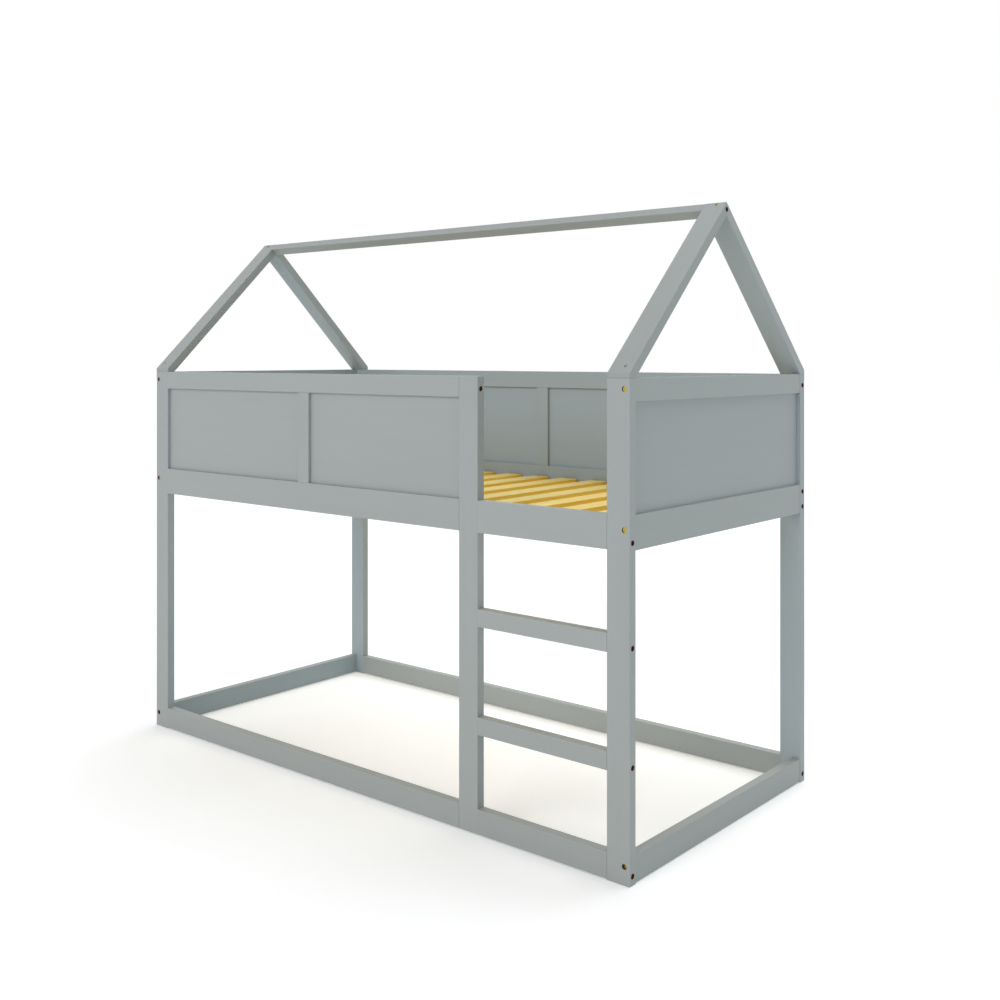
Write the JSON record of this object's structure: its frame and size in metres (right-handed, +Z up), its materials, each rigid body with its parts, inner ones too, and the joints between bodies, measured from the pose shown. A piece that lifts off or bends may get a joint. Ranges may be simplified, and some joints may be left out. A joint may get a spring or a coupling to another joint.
{
  "type": "low bunk bed",
  "caption": "Low children's bunk bed in painted wood with a house-shaped roof frame, recessed guard panels, a fixed ladder and a slatted upper deck over an open lower bunk.",
  "frame": {"origin": "on the floor, at the middle of the footprint", "axes": "+X along the bed towards the ladder end, +Y from the ladder side to the rear, +Z up"},
  "size_m": [2.06, 0.98, 1.7725],
  "materials": {
    "painted_wood": "satin grey-green paint on planed pine",
    "painted_board": "satin grey-green paint on thin board",
    "pine": "clear-lacquered pine",
    "beech": "bare beech",
    "zinc_yellow": "yellow-zinc-plated steel",
    "painted_screw": "satin grey-green paint"
  },
  "bodies": {
    "root": {"apex_screws": "zinc_yellow", "barrel_nuts": "zinc_yellow", "dowels": "beech", "entry_rail": "painted_wood", "front_bottom_rail": "painted_wood", "front_floor_rail": "painted_wood", "front_left_board": "painted_board", "front_left_post": "painted_wood", "front_left_rafter": "painted_wood", "front_right_board": "painted_board", "front_right_post": "painted_wood", "front_right_rafter": "painted_wood", "front_slat_ledger": "pine", "front_stile": "painted_wood", "front_top_rail": "painted_wood", "ladder_foot_screws": "zinc_yellow", "ladder_post": "painted_wood", "ledger_screws": "zinc_yellow", "left_board": "painted_board", "left_bottom_rail": "painted_wood", "left_floor_rail": "painted_wood", "left_top_rail": "painted_wood", "long_bolts": "zinc_yellow", "lower_rung": "painted_wood", "rafter_foot_screws": "painted_screw", "rear_bottom_rail": "painted_wood", "rear_floor_rail": "painted_wood", "rear_left_board": "painted_board", "rear_left_post": "painted_wood", "rear_left_rafter": "painted_wood", "rear_right_board": "painted_board", "rear_right_post": "painted_wood", "rear_right_rafter": "painted_wood", "rear_slat_ledger": "pine", "rear_stile": "painted_wood", "rear_top_rail": "painted_wood", "ridge_beam": "painted_wood", "right_board": "painted_board", "right_bottom_rail": "painted_wood", "right_floor_rail": "painted_wood", "right_top_rail": "painted_wood", "short_bolts": "zinc_yellow", "slat_01": "pine", "slat_02": "pine", "slat_03": "pine", "slat_04": "pine", "slat_05": "pine", "slat_06": "pine", "slat_07": "pine", "slat_08": "pine", "slat_09": "pine", "slat_10": "pine", "slat_11": "pine", "slat_12": "pine", "slat_13": "pine", "slat_14": "pine", "slat_15": "pine", "slat_screws": "zinc_yellow", "upper_rung": "painted_wood"}
  },
  "joints": []
}
